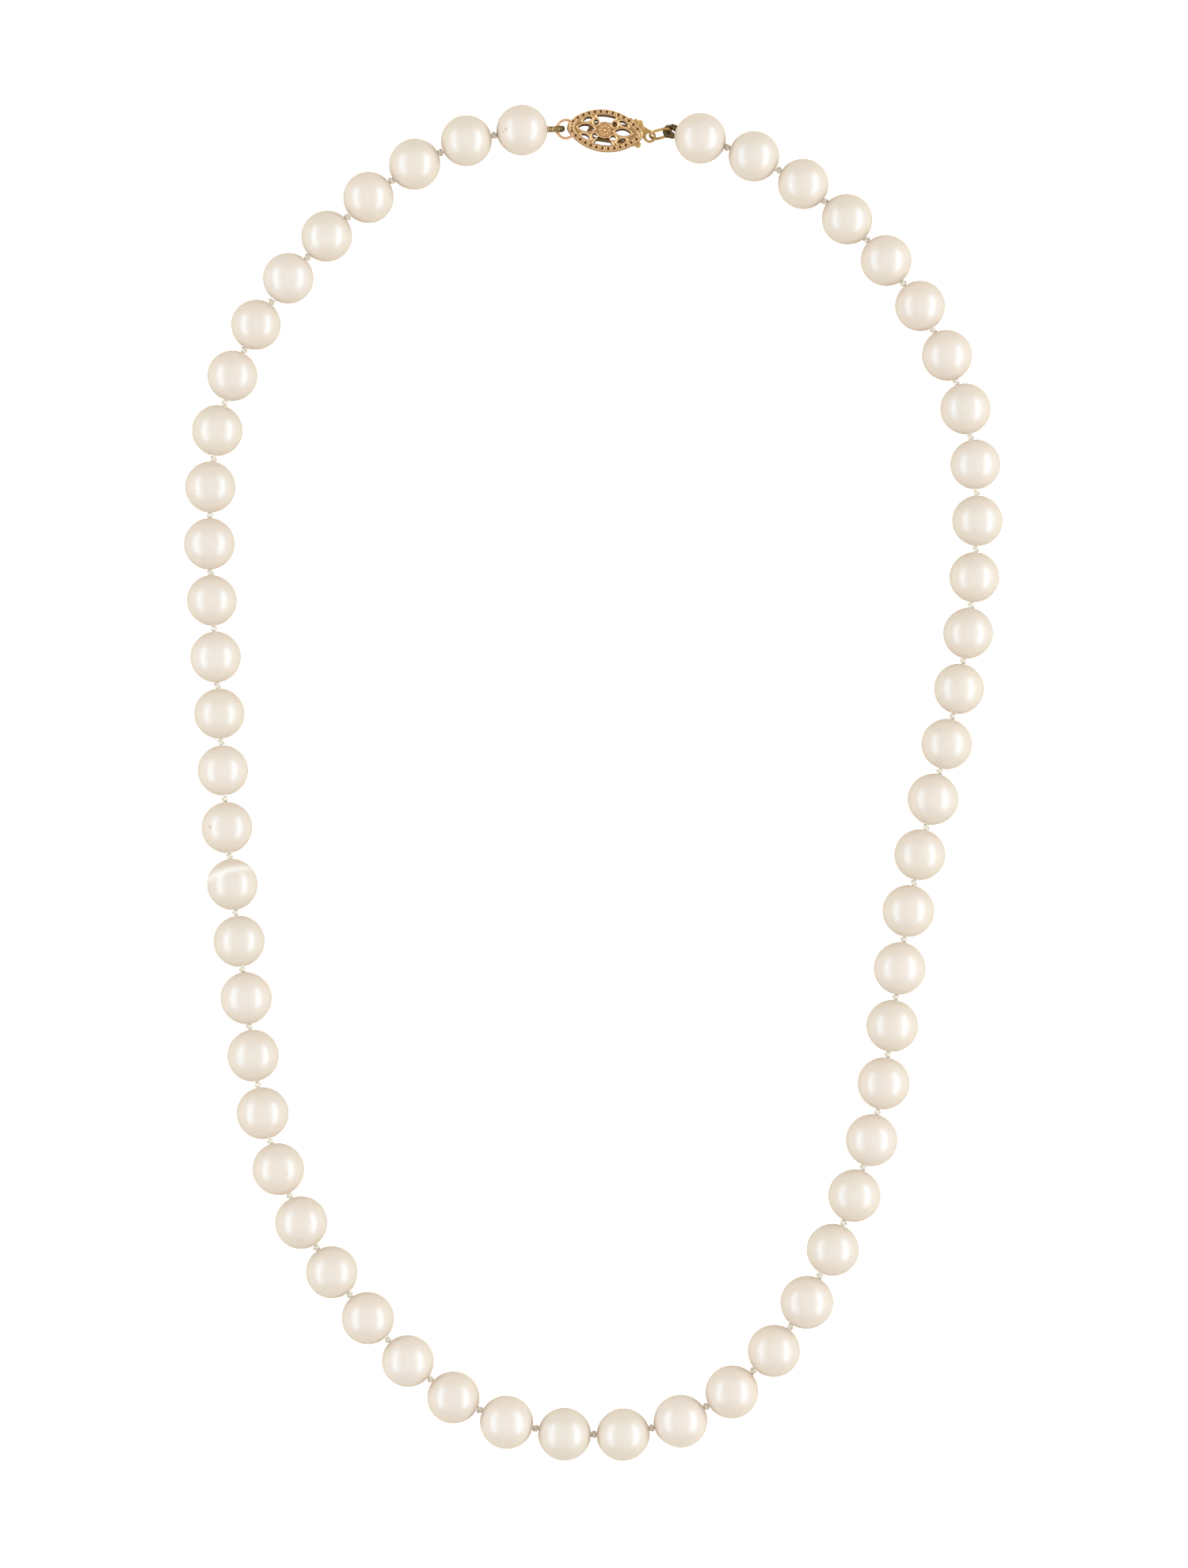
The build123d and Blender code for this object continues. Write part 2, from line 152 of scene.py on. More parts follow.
def sweep(path, normals, radius, around, closed=False):
    """Tube along path: radius is a number or a (points, around) array, turning from the normals."""
    path, normals = np.asarray(path, float), np.asarray(normals, float)
    if closed:
        tangents = np.roll(path, -1, 0) - np.roll(path, 1, 0)
    else:
        tangents = np.gradient(path, axis=0)
    tangents /= np.linalg.norm(tangents, axis=1, keepdims=True)
    normals = normals - tangents * (normals * tangents).sum(1, keepdims=True)
    normals /= np.linalg.norm(normals, axis=1, keepdims=True)
    across = np.cross(tangents, normals)
    angle = np.arange(around) / around * TURN
    radius = np.broadcast_to(radius, (len(path), around))
    ring = (
        normals[:, None] * (radius * np.cos(angle))[..., None]
        + across[:, None] * (radius * np.sin(angle))[..., None]
    )
    points = (path[:, None] + ring).reshape(-1, 3)
    faces = grid_faces(len(path), around, closed)
    if not closed:
        last = (len(path) - 1) * around
        faces += [list(range(around - 1, -1, -1)), list(range(last, last + around))]
    return points, faces


def join(parts):
    """One list of points and faces from several."""
    points, faces, count = [], [], 0
    for part_points, part_faces in parts:
        points.append(part_points)
        faces += [[i + count for i in face] for face in part_faces]
        count += len(part_points)
    return np.concatenate(points), faces


def node_points(node):
    """A CAD node's vertices in mm."""
    mesh = NODES[node].data
    found = np.empty(len(mesh.vertices) * 3)
    mesh.vertices.foreach_get("co", found)
    return found.reshape(-1, 3) / MM


# ---- Materials ----
class Shader:
    """A short way to write a node material."""

    def __init__(self, name):
        self.material = bpy.data.materials.new(name)
        self.material.use_nodes = True
        self.tree = self.material.node_tree
        self.skin = self.tree.nodes["Principled BSDF"]

    def node(self, kind, **inputs):
        """A new node with its sockets and properties set."""
        made = self.tree.nodes.new(kind)
        for key, value in inputs.items():
            self.set(made, key, value)
        return made

    def set(self, node, key, value):
        """Sets a socket by name or by index (i0, i1 ...), or a property where no socket fits."""
        key = int(key[1:]) if key[0] == "i" and key[1:].isdigit() else key
        socket = node.inputs[key] if isinstance(key, int) or key in node.inputs else None
        if socket is None:
            setattr(node, key, value)
        elif isinstance(value, bpy.types.NodeSocket):
            self.tree.links.new(value, socket)
        else:
            socket.default_value = value

    def skin_set(self, **values):
        """Sets the main shader's sockets, named with _ for a space."""
        for key, value in values.items():
            self.set(self.skin, key.replace("_", " "), value)

    def noise(self, scale, detail=3.0, roughness=0.5):
        """Noise fixed to the object, per metre."""
        made = self.node("ShaderNodeTexNoise", Scale=scale, Detail=detail, Roughness=roughness)
        self.set(made, "Vector", self.node("ShaderNodeTexCoord").outputs["Object"])
        return made.outputs["Fac"]

    def ramp(self, fac, stops):
        """A colour read off a row of (position, colour) stops."""
        made = self.node("ShaderNodeValToRGB", Fac=fac)
        elements = made.color_ramp.elements
        while len(elements) < len(stops):
            elements.new(0.5)
        for element, (position, colour) in zip(elements, stops):
            element.position = position
            element.color = (*colour, 1)
        return made.outputs["Color"]

    def mix(self, fac, one, other):
        """One colour turning into another as fac goes from 0 to 1."""
        made = self.node("ShaderNodeMixRGB")
        for index, value in enumerate((fac, one, other)):
            if isinstance(value, tuple) and len(value) == 3:
                value = (*value, 1)
            self.set(made, f"i{index}", value)
        return made.outputs["Color"]

    def span(self, value, low, high, to_low, to_high):
        """A value carried from one range to another and held at its ends."""
        made = self.node("ShaderNodeMapRange")
        for index, item in enumerate((value, low, high, to_low, to_high)):
            self.set(made, f"i{index}", item)
        return made.outputs["Result"]

    def detail(self):
        """The three channels of the painted attribute."""
        read = self.node("ShaderNodeAttribute", attribute_name="detail")
        split = self.node("ShaderNodeSeparateColor", Color=read.outputs["Color"])
        return [split.outputs[c] for c in ("Red", "Green", "Blue")]

    def bump(self, height, strength, distance):
        """Gives the main shader fine unevenness, its depth in metres."""
        made = self.node("ShaderNodeBump", Strength=strength, Distance=distance, Height=height)
        self.set(self.skin, "Normal", made.outputs["Normal"])


CREAMS = (
    (0.0, (0.728, 0.638, 0.556)),
    (0.35, (0.734, 0.636, 0.560)),
    (0.7, (0.740, 0.634, 0.566)),
    (1.0, (0.752, 0.654, 0.592)),
)
CLOUD_CREAM, FINE_CREAM = (0.775, 0.645, 0.530), (0.76, 0.66, 0.54)
CHALK_WHITE, BLEMISH_BROWN = (0.98, 0.98, 0.97), (0.46, 0.24, 0.10)
SILK_SHADE, SILK_LIGHT, SILK_FIBRE = (0.84, 0.75, 0.61), (0.91, 0.84, 0.72), (0.80, 0.68, 0.52)
BRASS_DULL, BRASS_BRIGHT = (0.40, 0.27, 0.09), (0.86, 0.62, 0.28)
OLIVE_BLACK, OLIVE = (0.024, 0.016, 0.006), (0.13, 0.085, 0.028)


def nacre():
    """Cream nacre: cloudy body colour, seeded tone per pearl, chalky bands and brown blemishes."""
    s = Shader("nacre")
    tone, chalk, blemish = s.detail()
    cloud = s.noise(260.0, 2.0)
    cream = s.ramp(tone, CREAMS)
    clouded = s.mix(s.span(cloud, 0.3, 0.7, 0.0, 0.45), cream, CLOUD_CREAM)
    fine = s.noise(1900.0, 4.0, 0.6)
    body = s.mix(s.span(fine, 0.25, 0.8, 0.0, 0.12), clouded, FINE_CREAM)
    body = s.mix(chalk, body, CHALK_WHITE)
    body = s.mix(blemish, body, BLEMISH_BROWN)
    s.skin_set(Base_Color=body, Roughness=s.span(fine, 0.2, 0.8, 0.37, 0.45), IOR=1.75)
    s.skin_set(Specular_Tint=(0.56, 0.80, 1.0, 1))
    s.skin_set(Coat_Weight=1.0, Coat_Roughness=0.36, Coat_IOR=1.6, Coat_Tint=(0.98, 0.94, 0.88, 1))
    s.skin_set(Sheen_Weight=0.12, Sheen_Roughness=0.45, Sheen_Tint=(1.0, 0.68, 0.38, 1))
    s.bump(s.noise(5200.0, roughness=0.6), 0.05, 0.00004)
    return s.material


def silk():
    """Twisted off-white silk with a soft sheen and fine fibres."""
    s = Shader("silk")
    tone = s.ramp(s.noise(900.0), [(0.3, SILK_SHADE), (0.7, SILK_LIGHT)])
    fibre = s.noise(9000.0, 4.0)
    colour = s.mix(s.span(fibre, 0.35, 0.75, 0.0, 0.12), tone, SILK_FIBRE)
    s.skin_set(Base_Color=colour, Roughness=0.72, Sheen_Weight=0.4, Sheen_Roughness=0.5)
    s.skin_set(Sheen_Tint=(1.0, 0.95, 0.86, 1))
    s.bump(fibre, 0.5, 0.00003)
    return s.material


def gimp_wire():
    """French wire: bright brass on the crests, black-olive between the turns, which is tarnish and painted shade
    together.
    """
    s = Shader("gimp_wire")
    crest, dark, _ = s.detail()
    patch = s.noise(2600.0, 4.0)
    bright = s.ramp(patch, [(0.35, BRASS_DULL), (0.65, BRASS_BRIGHT)])
    olive = s.ramp(patch, [(0.3, OLIVE_BLACK), (0.8, OLIVE)])
    # Painted shade with the tarnish: the inner side of each turn, between the turns, takes the black-olive.
    shown = s.node("ShaderNodeMath", operation="MULTIPLY", i0=s.span(crest, 0.10, 0.60, 0.0, 1.0))
    s.set(shown, "i1", s.span(dark, 0.0, 1.0, 1.0, 0.12))
    s.skin_set(Base_Color=s.mix(shown.outputs[0], olive, bright), Metallic=1.0)
    s.skin_set(Roughness=s.span(patch, 0.3, 0.7, 0.30, 0.55))
    s.bump(s.noise(14000.0), 0.25, 0.00002)
    return s.material


def gold(name, bright, deep, shade_and_patina_colour, rough, grain, grain_depth):
    """Gold that is darker and duller in its hollows and where it lies shut in the housing, patina and painted
    shade together, with soft stains and a fine grain.
    """
    s = Shader(name)
    shade_and_patina, edge, _ = s.detail()
    stain = s.noise(700.0, 4.0, 0.6)
    colour = s.ramp(stain, [(0.3, deep), (0.68, bright)])
    # Painted shade with the patina: the first painted channel darkens hollows and the parts shut inside the
    # housing.
    colour = s.mix(s.span(shade_and_patina, 0.15, 0.85, 0.0, 0.85), colour, shade_and_patina_colour)
    worn = tuple(min(1.0, c * 1.12 + 0.04) for c in bright)
    colour = s.mix(s.span(edge, 0.2, 0.9, 0.0, 0.55), colour, worn)
    s.skin_set(Base_Color=colour, Metallic=1.0)
    dull = s.node("ShaderNodeMath", operation="MULTIPLY_ADD", i0=shade_and_patina, i1=0.18)
    s.set(dull, "i2", s.span(s.noise(3200.0, 4.0), 0.3, 0.7, *rough))
    s.set(s.skin, "Roughness", dull.outputs[0])
    s.bump(s.noise(grain, 4.0, 0.6), 0.35, grain_depth)
    return s.material


NACRE, SILK, GIMP = nacre(), silk(), gimp_wire()
ROSE = gold(
    "rose_gold", bright=(0.75, 0.50, 0.26), deep=(0.63, 0.385, 0.18), shade_and_patina_colour=(0.28, 0.135, 0.026),
    rough=(0.38, 0.52), grain=5200.0, grain_depth=0.00003,
)
RING = gold(
    "ring_gold", bright=(0.93, 0.60, 0.36), deep=(0.86, 0.52, 0.29), shade_and_patina_colour=(0.30, 0.14, 0.05),
    rough=(0.28, 0.42), grain=6000.0, grain_depth=0.00001,
)
MATTE = gold(
    "matte_gold", bright=(0.69, 0.46, 0.19), deep=(0.54, 0.33, 0.115), shade_and_patina_colour=(0.28, 0.145, 0.033),
    rough=(0.44, 0.58), grain=7000.0, grain_depth=0.00006,
)


# ---- Where the pearls and knots lie, read from the CAD ----
def islands(node):
    """The separate solids of a node, each as its own points in mm."""
    bm = bmesh.new()
    bm.from_mesh(NODES[node].data)
    bmesh.ops.remove_doubles(bm, verts=bm.verts, dist=1e-7)
    bm.verts.ensure_lookup_table()
    seen, found = set(), []
    for start in bm.verts:
        if start.index in seen:
            continue
        stack, group = [start], []
        seen.add(start.index)
        while stack:
            v = stack.pop()
            group.append(tuple(v.co))
            for e in v.link_edges:
                other = e.other_vert(v)
                if other.index not in seen:
                    seen.add(other.index)
                    stack.append(other)
        found.append(np.array(group) / MM)
    bm.free()
    return found


def ball(points):
    """Centre and radius of the sphere that the points lie on."""
    rows = np.column_stack([2 * points, np.ones(len(points))])
    fit = np.linalg.lstsq(rows, (points**2).sum(1), rcond=None)[0]
    return fit[:3], math.sqrt(fit[3] + fit[:3] @ fit[:3])


def strand():
    """Every pearl as (centre, radius, node), in order from the housing's side round to the tongue's."""
    pearl_nodes = [node for node in sorted(NODES) if node.startswith("pearls")]
    loose = [(*ball(points), node) for node in pearl_nodes for points in islands(node)]
    at, ordered = JOINT["left_gimp_turn"], []
    while loose:
        nearest = min(range(len(loose)), key=lambda k: np.linalg.norm(loose[k][0] - at))
        ordered.append(loose.pop(nearest))
        at = ordered[-1][0]
    return ordered


PEARLS = strand()
LAST = len(PEARLS) - 1


def face_point(index, towards):
    """Point on a pearl's face in the direction of another point."""
    centre, radius, _ = PEARLS[index]
    return centre + unit(towards - centre) * radius


def knot_after(index):
    """Middle of the gap between a pearl and the next one."""
    one, other = PEARLS[index][0], PEARLS[index + 1][0]
    return (face_point(index, other) + face_point(index + 1, one)) / 2


KNOTS = [knot_after(i) for i in range(LAST)]
# Where each pearl's bore begins and ends, from the housing's side round.
BORE_ENDS = [
    (KNOTS[i - 1] if i else face_point(0, JOINT["left_gimp_turn"]),
     KNOTS[i] if i < LAST else face_point(LAST, JOINT["right_gimp_turn"]))
    for i in range(LAST + 1)
]


# ---- Pearls ----
def directions(rng, count):
    """Seeded unit vectors."""
    return np.array([unit(np.array([rng.gauss(0, 1) for _ in range(3)])) for _ in range(count)])


# Pearl number, place of each mark as seen from above (right, up, in radii), its size in mm.
BLEMISHES = {
    1: [((-0.62, -0.02), 0.22), ((-0.72, -0.12), 0.13), ((-0.50, 0.06), 0.10)],
    10: [((-0.55, -0.20), 0.10)],
    14: [((0.66, 0.62), 0.15), ((0.74, 0.48), 0.12), ((0.58, 0.73), 0.10)],
    16: [((-0.62, 0.02), 0.20)],
    22: [((0.35, -0.15), 0.13)],
    23: [((-0.05, -0.62), 0.10)],
    44: [((-0.42, -0.68), 0.10), ((-0.30, -0.75), 0.08)],
    47: [((-0.15, 0.72), 0.11)],
}
# Pearl number, a place that its chalky band runs through (right, up, in radii), strength.
CHALKY = {17: ((-0.15, 0.55), 0.627), 5: ((0.1, -0.2), 0.095)}
# The direction that a chalky band lies square to.
BAND_WAY = unit(np.array([0.25, -0.93, 0.25]))
PEARL_AROUND, PEARL_ROWS = 96, 62


def seen_at(x, y):
    """Unit vector of the point seen from above at (x, y), in radii."""
    return np.array([x, y, math.sqrt(max(0.0, 1 - x * x - y * y))])


def drilled_outline(radius):
    """Half of a drilled pearl's section, as (distance from the bore's axis, distance along it)."""
    first = math.asin((BORE_RADIUS + MOUTH_ROUND) / radius)
    turn = np.linspace(first, math.pi - first, PEARL_ROWS)
    outer = np.column_stack([np.sin(turn), np.cos(turn)]) * radius
    corner = np.array([BORE_RADIUS, math.sqrt(radius**2 - BORE_RADIUS**2)])
    wall = np.array([BORE_RADIUS, corner[1] - 1.2 * MOUTH_ROUND])
    t = np.linspace(0, 1, 6)[1:, None]
    mouth = (1 - t) ** 2 * outer[0] + 2 * t * (1 - t) * corner + t**2 * wall
    return np.concatenate([outer, mouth * np.array([1, -1]), mouth[::-1]])


def off_round(way, axis, radius, rng):
    """How far each point of a pearl lies out, in radii: lopsided, ringed, waisted and pitted."""
    swell = np.zeros(len(way))
    for d in directions(rng, 3):
        swell += rng.uniform(-1, 1) * ((way @ d) ** 2 - 1 / 3)
    for d in directions(rng, 2):
        swell += 0.5 * rng.uniform(-1, 1) * (way @ d) ** 3
    swell = (swell - swell.max()) / max(np.ptp(swell), 1e-6)
    shape = 1 + swell * rng.choice([0.006, 0.009, 0.013, 0.02])

    growth = unit(axis * rng.uniform(0.5, 1.0) + directions(rng, 1)[0] * 0.6)
    height = way @ growth
    for _ in range(rng.randint(2, 5)):
        shape -= rng.uniform(0.0006, 0.0018) * smooth_bump(height - rng.uniform(-0.8, 0.8), 0.035)
    from_bore = np.arccos(np.clip(np.abs(way @ axis), 0, 1))
    shape += rng.choice([0, 0.004, 0.012, 0.022]) * smooth_bump(from_bore, 0.42)
    for d in directions(rng, rng.randint(2, 6)):
        away = np.arccos(np.clip(way @ d, -1, 1)) * radius
        shape -= rng.uniform(0.001, 0.003) * smooth_bump(away, rng.uniform(0.18, 0.40))
    return shape


def marks(number, way, radius):
    """A pearl's chalkiness, its brown blemishes, and how far both raise it, in radii."""
    chalk, blemish, rise = np.zeros((3, len(way)))
    if number in CHALKY:
        place, strength = CHALKY[number]
        band = smooth_bump(way @ BAND_WAY - seen_at(*place) @ BAND_WAY, 0.13)
        chalk += strength * band
        rise += 0.004 * band
    for place, size in BLEMISHES.get(number, []):
        away = np.arccos(np.clip(way @ seen_at(*place), -1, 1)) * radius
        blemish = np.maximum(blemish, 0.85 * smooth_bump(away, size))
        rise -= 0.007 * smooth_bump(away, size * 1.3)
    return chalk, blemish, rise


def pearl(index):
    """A drilled pearl: an outline turned about the bore, then made a little off-round and pitted."""
    centre, radius, node = PEARLS[index]
    rng = random.Random(700 + index)
    start, end = BORE_ENDS[index]
    axis = unit(end - start)
    side = unit(np.cross(axis, UP))
    up = np.cross(side, axis)
    outline = drilled_outline(radius)
    angle = np.arange(PEARL_AROUND) / PEARL_AROUND * TURN
    normal_plane = side * np.cos(angle)[:, None] + up * np.sin(angle)[:, None]
    local = outline[:, 0, None, None] * normal_plane[None] + outline[:, 1, None, None] * axis
    local = local.reshape(-1, 3)
    length = np.linalg.norm(local, axis=1, keepdims=True)
    way = local / length

    number = index + 1
    chalk, blemish, rise = marks(number, way, radius)
    shape = off_round(way, axis, radius, rng) + rise
    tone = np.full(len(way), rng.random())
    in_bore = np.linalg.norm(local - (local @ axis)[:, None] * axis, axis=1) < BORE_RADIUS + 0.01
    shape[in_bore] = 1
    points = centre + way * length * shape[:, None]
    faces = grid_faces(len(outline), PEARL_AROUND, True)
    colour = np.column_stack([tone, np.clip(chalk, 0, 1), blemish])
    piece(f"pearl_{number:02d}", points, faces, NACRE, BODY_OF[node], [node], colour)


# ---- Silk ----
def thread(start, end):
    """A two-ply thread: two lobes that twist along the straight run."""
    along = end - start
    length = np.linalg.norm(along)
    around, step = 16, 0.16
    s = np.linspace(0, 1, max(4, int(length / step)))
    path = start + s[:, None] * along
    twist = s * length / SILK_PITCH * TURN
    lobes = np.abs(np.cos(np.arange(around) / around * TURN - twist[:, None]))
    level = np.cross(unit(along), UP)
    return sweep(path, np.broadcast_to(level, path.shape), SILK_RADIUS * (0.80 + 0.20 * lobes), around)


def knot(at, axis, rng):
    """A tight overhand knot: a trefoil of two-ply thread pulled into a barrel."""
    around, steps = 14, 120
    t = np.linspace(0, TURN, steps, endpoint=False)
    side = unit(np.cross(axis, UP))
    up = np.cross(side, axis)
    roll = rng.uniform(0, TURN)
    out = side * np.cos(2 * t + roll)[:, None] + up * np.sin(2 * t + roll)[:, None]
    core, reach = rng.uniform(*KNOT_CORE), rng.uniform(*KNOT_REACH)
    path = at + out * (core + KNOT_SWING * np.cos(3 * t))[:, None] + axis * (reach * np.sin(3 * t))[:, None]
    normals = out * np.cos(3 * t)[:, None] + axis * np.sin(3 * t)[:, None]
    lobes = np.abs(np.cos(np.arange(around) / around * TURN - 4.5 * t[:, None]))
    return sweep(path, normals, KNOT_TUBE * (0.84 + 0.16 * lobes), around, closed=True)


def silk_runs():
    """For each silk node: the pearls that it passes through, nearest the front first."""
    runs = {}
    for i, (_, _, node) in enumerate(PEARLS):
        runs.setdefault(node.replace("pearls", "silk"), []).append(i)
    return {node: (list(reversed(run)) if "left" in node else run) for node, run in runs.items()}


def make_silk(node, run):
    """The threads through one link's pearls, with the knots that this link holds."""
    rng = random.Random(node)
    parts = []
    front = node == "silk_front"
    for place, i in enumerate(run):
        start, end = BORE_ENDS[i][::-1] if "left" in node else BORE_ENDS[i]
        along = unit(end - start)
        tied_before = place > 0 or front
        first = start + along * (SILK_INTO_KNOT if tied_before else KNOT_RADIUS + RUNNING_GAP)
        ends_at_knot = 0 < i < LAST
        last = end - along * (SILK_INTO_KNOT if ends_at_knot else SILK_SHORT_OF_END)
        parts.append(thread(first, last))
        if ends_at_knot:
            parts.append(knot(end, along, rng))
        if front and place == 0:
            parts.append(knot(start, along, rng))
    for side, index in (("left", 0), ("right", LAST)):
        if index in run:
            path, normals, _ = gimp_path(side)
            parts.append(sweep(path, normals, GIMP_SILK_RADIUS, 10))
    points, faces = join(parts)
    piece(node.replace("silk", "strand_silk"), points, faces, SILK, BODY_OF[node], [node])


# ---- Gimp and jump rings ----
def ring_axes(node):
    """A ring's middle, its long, short and normal directions, and its extent along the first two."""
    points = node_points(node)
    ways = np.linalg.svd(points - points.mean(0), full_matrices=False)[2]
    extents = [np.ptp(points @ w) for w in ways[:2]]
    middle = sum(w * ((points @ w).max() + (points @ w).min()) / 2 for w in ways)
    return middle, ways, extents


def gimp_path(side):
    """The gimp's centre line round the ring's wire, its normals, and the distance along it."""
    index = 0 if side == "left" else LAST
    centre, radius, _ = PEARLS[index]
    at = JOINT[f"{side}_gimp_turn"]
    out = unit(at - centre)
    # The way in which the ring's wire runs through this gimp.
    wire = np.array([0.0, 1.0, 0.0]) if side == "left" else ring_axes("jump_ring_right")[1][1]
    wire = unit(wire - out * (wire @ out))
    over = np.cross(wire, out)
    leg = np.linalg.norm(at - centre) - radius - GIMP_CLEARANCE
    run = np.linspace(-leg, 0, 40)[:-1]
    bend = np.linspace(math.pi / 2, -math.pi / 2, 44)
    spread = GIMP_LEG + (GIMP_BEND - GIMP_LEG) * np.sin((1 + run / leg) * math.pi / 2)
    x = np.concatenate([run, GIMP_BEND * np.cos(bend), run[::-1]])
    y = np.concatenate([spread, GIMP_BEND * np.sin(bend), -spread[::-1]])
    path = at + out * x[:, None] + over * y[:, None]
    distance = np.concatenate([[0], np.cumsum(np.linalg.norm(np.diff(path, axis=0), axis=1))])
    return path, np.broadcast_to(wire, path.shape), distance


def make_gimp(side, pitch, loose, swell):
    """French wire: a fine wire coiled round the gimp's path, wider and darker round the ring.

    loose is how far the turns wander and swell how much wider they grow at the ring, both in mm.
    """
    path, normals, distance = gimp_path(side)
    rng = random.Random("gimp" + side)
    turns = int(distance[-1] / pitch)
    steps, around = turns * 18, 10
    s = np.linspace(0, distance[-1], steps)
    centre = np.column_stack([np.interp(s, distance, path[:, k]) for k in range(3)])
    tangent = np.gradient(centre, axis=0)
    tangent /= np.linalg.norm(tangent, axis=1, keepdims=True)
    wire = normals[0]
    over = np.cross(tangent, wire)
    angle = s / distance[-1] * turns * TURN
    wander = [[rng.uniform(-1, 1) for _ in range(turns + 2)] for _ in range(3)]
    each = [np.interp(angle / TURN, range(turns + 2), w) for w in wander]
    round_ring = smooth_bump(s - distance[-1] / 2, 1.0)
    coil = COIL_RADIUS + loose * 0.6 * each[0] + swell * round_ring
    out = wire * np.cos(angle)[:, None] + over * np.sin(angle)[:, None]
    line = centre + out * coil[:, None] + wire * (loose * each[1])[:, None]
    line = line + tangent * (0.6 * loose * each[2])[:, None]
    points, faces = sweep(line, out, COIL_WIRE, around)
    # The crest channel is 1 on each turn's outward face and 0 on its inner side, which the material darkens:
    # tarnish and painted shade together.
    crest = np.clip(np.cos(np.arange(around) / around * TURN), 0, 1)
    crest = np.broadcast_to(crest, (steps, around)).ravel()
    near_ring = np.repeat(np.clip(round_ring + 6 * loose, 0, 1), around)
    colour = np.column_stack([crest, near_ring, np.zeros(len(crest))])
    node = f"gimp_{side}"
    piece(f"gimp_coil_{side}", points, faces, GIMP, BODY_OF[node], [node], colour)


def make_ring(side, seam_at, material):
    """A jump ring bent from round wire: not quite even, its cut ends almost touching.

    seam_at is how far round the ring the cut lies, from 0 to 1.
    """
    node = f"jump_ring_{side}"
    middle, (long_way, short_way, _), (length, width) = ring_axes(node)
    if side == "left":
        long_way, short_way = np.array([1.0, 0, 0]), np.array([0, 1.0, 0])
        low, high = (np.array(v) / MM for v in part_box(node))
        middle = (low + high) / 2
        width = length
    end = (width - RING_WIRE) / 2
    straight = (length - width) / 2
    quarter = end * math.pi / 2
    total = 4 * straight + 4 * quarter
    steps, around = 220, 24
    s = seam_at * total + RING_SEAM / 2 + (total - RING_SEAM) * np.linspace(0, 1, steps)
    s = np.mod(s, total)
    line, outward = [], []
    for d in s:
        k, rest = divmod(d, total / 2)
        sign = -1 if k % 2 else 1
        if rest < straight:
            a, b, ca, cb = rest, end, 0.0, 1.0
        elif rest < straight + 2 * quarter:
            turn = math.pi / 2 - (rest - straight) / end
            ca, cb = math.cos(turn), math.sin(turn)
            a, b = straight + end * ca, end * cb
        else:
            a, b, ca, cb = straight - (rest - straight - 2 * quarter), -end, 0.0, -1.0
        line.append(middle + sign * (a * long_way + b * short_way))
        outward.append(sign * (ca * long_way + cb * short_way))
    line, outward = np.array(line), np.array(outward)
    normal = np.cross(long_way, short_way)
    rng = random.Random("ring" + side)
    t = np.linspace(0, 1, steps)
    for k in (2, 3, 5, 7):
        depth = rng.uniform(-1, 1) * 0.024 / k
        line = line + outward * (depth * np.sin(TURN * k * t + rng.random() * 6))[:, None]
    spread = np.clip(1 - np.minimum(t, 1 - t) / 0.08, 0, 1) * np.sign(0.5 - t)
    line = line + normal * (0.018 * spread)[:, None]
    nip = np.clip(1 - np.minimum(t, 1 - t) / 0.012, 0, 1)
    radius = RING_WIRE / 2 * (1 - 0.08 * nip**2)
    flat = 1 - 0.035 * smooth_bump(np.mod(t * 6 + 0.5, 1) - 0.5, 0.12)
    points, faces = sweep(line, outward, np.repeat((radius * flat)[:, None], around, 1), around)
    worn = np.repeat(nip**2, around)
    colour = np.column_stack([worn * 0.9, 0.15 * (1 - worn), np.zeros(len(worn))])
    piece(f"ring_wire_{side}", points, faces, material, BODY_OF[node], [node], colour)


# ---- Clasp ----
CLASP_AT = np.array(next(m["pos_m"] for m in RECORD["mounts"] if m["name"] == "clasp_back")) / MM
CLASP_FRAME = Matrix.Translation(Vector(CLASP_AT * MM)) @ Matrix.Rotation(CLASP_TILT, 4, "Z")
OUTLINE_ARC = (MARQUISE[0] ** 2 + MARQUISE[1] ** 2) / (2 * MARQUISE[1])
OUTLINE_DROP = OUTLINE_ARC - MARQUISE[1]


def lens(x, y, half_length, half_width):
    """Signed distance outside a pointed oval of two arcs."""
    arc = (half_length**2 + half_width**2) / (2 * half_width)
    return np.hypot(x, np.abs(y) + arc - half_width) - arc


def tips(x, y):
    """For each rounded tip: its side, radius, centre's x, and whether each point lies at it."""
    for side, radius in TIPS:
        centre = math.sqrt((OUTLINE_ARC - radius) ** 2 - OUTLINE_DROP**2)
        yield side, radius, centre, side * x * OUTLINE_DROP > centre * (np.abs(y) + OUTLINE_DROP)


def outline_edge(x, y):
    """Distance inside the front's outline, whose two points are rounded off."""
    inside = -lens(x, y, *MARQUISE)
    for side, radius, centre, at_tip in tips(x, y):
        inside = np.where(at_tip, radius - np.hypot(x - side * centre, y), inside)
    return inside


def border_run(x, y):
    """Distance along the border from the middle of its long side, taken on round the tips."""
    mid_arc = OUTLINE_ARC - BORDER_WIDTH / 2
    run = np.arctan2(np.abs(x), np.abs(y) + OUTLINE_DROP) * mid_arc
    for side, radius, centre, at_tip in tips(x, y):
        tangent = math.atan2(centre, OUTLINE_DROP)
        turned = np.arctan2(side * x - centre, np.abs(y))
        round_tip = tangent * mid_arc + (turned - tangent) * (radius - BORDER_WIDTH / 2)
        run = np.where(at_tip, round_tip, run)
    return run


